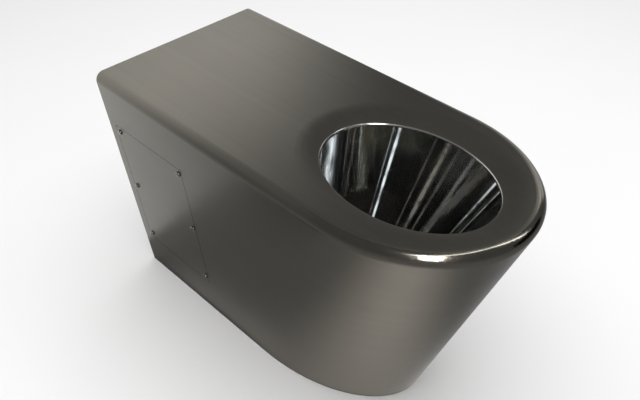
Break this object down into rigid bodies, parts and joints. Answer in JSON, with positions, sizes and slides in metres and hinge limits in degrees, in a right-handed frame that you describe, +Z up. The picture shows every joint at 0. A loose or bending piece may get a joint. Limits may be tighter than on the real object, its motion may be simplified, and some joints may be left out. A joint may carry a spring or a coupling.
{
  "type": "long drop toilet pan",
  "caption": "Stainless steel long drop toilet pan with a flat satin deck, an oval polished chute to a floor outlet, leaning walls and screwed side access panels.",
  "frame": {"origin": "on the floor below the middle of the deck", "axes": "+Z up, +Y to the wall behind the pan, -Y the way a user faces, +X to the user's left"},
  "size_m": [0.35, 0.7399, 0.46],
  "materials": {
    "deck_satin": "satin brushed stainless steel, grain along the deck",
    "wall_satin": "satin brushed stainless steel",
    "bowl_polish": "mirror polished stainless steel",
    "mill_steel": "dull mill finish stainless steel",
    "fastener_steel": "bright stainless steel",
    "seal_rubber": "matt black rubber"
  },
  "bodies": {
    "pan": {"top_deck": "deck_satin", "front_nose": "wall_satin", "left_side_wall": "wall_satin", "right_side_wall": "wall_satin", "bowl_cone": "bowl_polish", "drop_tube": "bowl_polish", "base_plate": "mill_steel", "rear_tie_bar": "mill_steel", "bowl_crossbar": "mill_steel", "left_panel_frame": "mill_steel", "right_panel_frame": "mill_steel", "left_floor_angle": "mill_steel", "right_floor_angle": "mill_steel", "left_deck_stiffener": "mill_steel", "right_deck_stiffener": "mill_steel", "left_panel_nuts": "fastener_steel", "right_panel_nuts": "fastener_steel", "outlet_seal": "seal_rubber"},
    "left_panel": {"left_access_panel": "wall_satin"},
    "left_screws": {"left_panel_screws": "fastener_steel"},
    "right_panel": {"right_access_panel": "wall_satin"},
    "right_screws": {"right_panel_screws": "fastener_steel"}
  },
  "joints": [
    {"name": "left_panel_pull", "type": "slide", "parent": "pan", "child": "left_panel", "axis": [-0.9958, 0, -0.0921], "range_m": [0, 0.12]},
    {"name": "left_screws_draw", "type": "slide", "parent": "left_panel", "child": "left_screws", "axis": [-0.9958, 0, -0.0921], "range_m": [0, 0.016]},
    {"name": "right_panel_pull", "type": "slide", "parent": "pan", "child": "right_panel", "axis": [0.9958, 0, -0.0921], "range_m": [0, 0.12]},
    {"name": "right_screws_draw", "type": "slide", "parent": "right_panel", "child": "right_screws", "axis": [0.9958, 0, -0.0921], "range_m": [0, 0.016]}
  ]
}
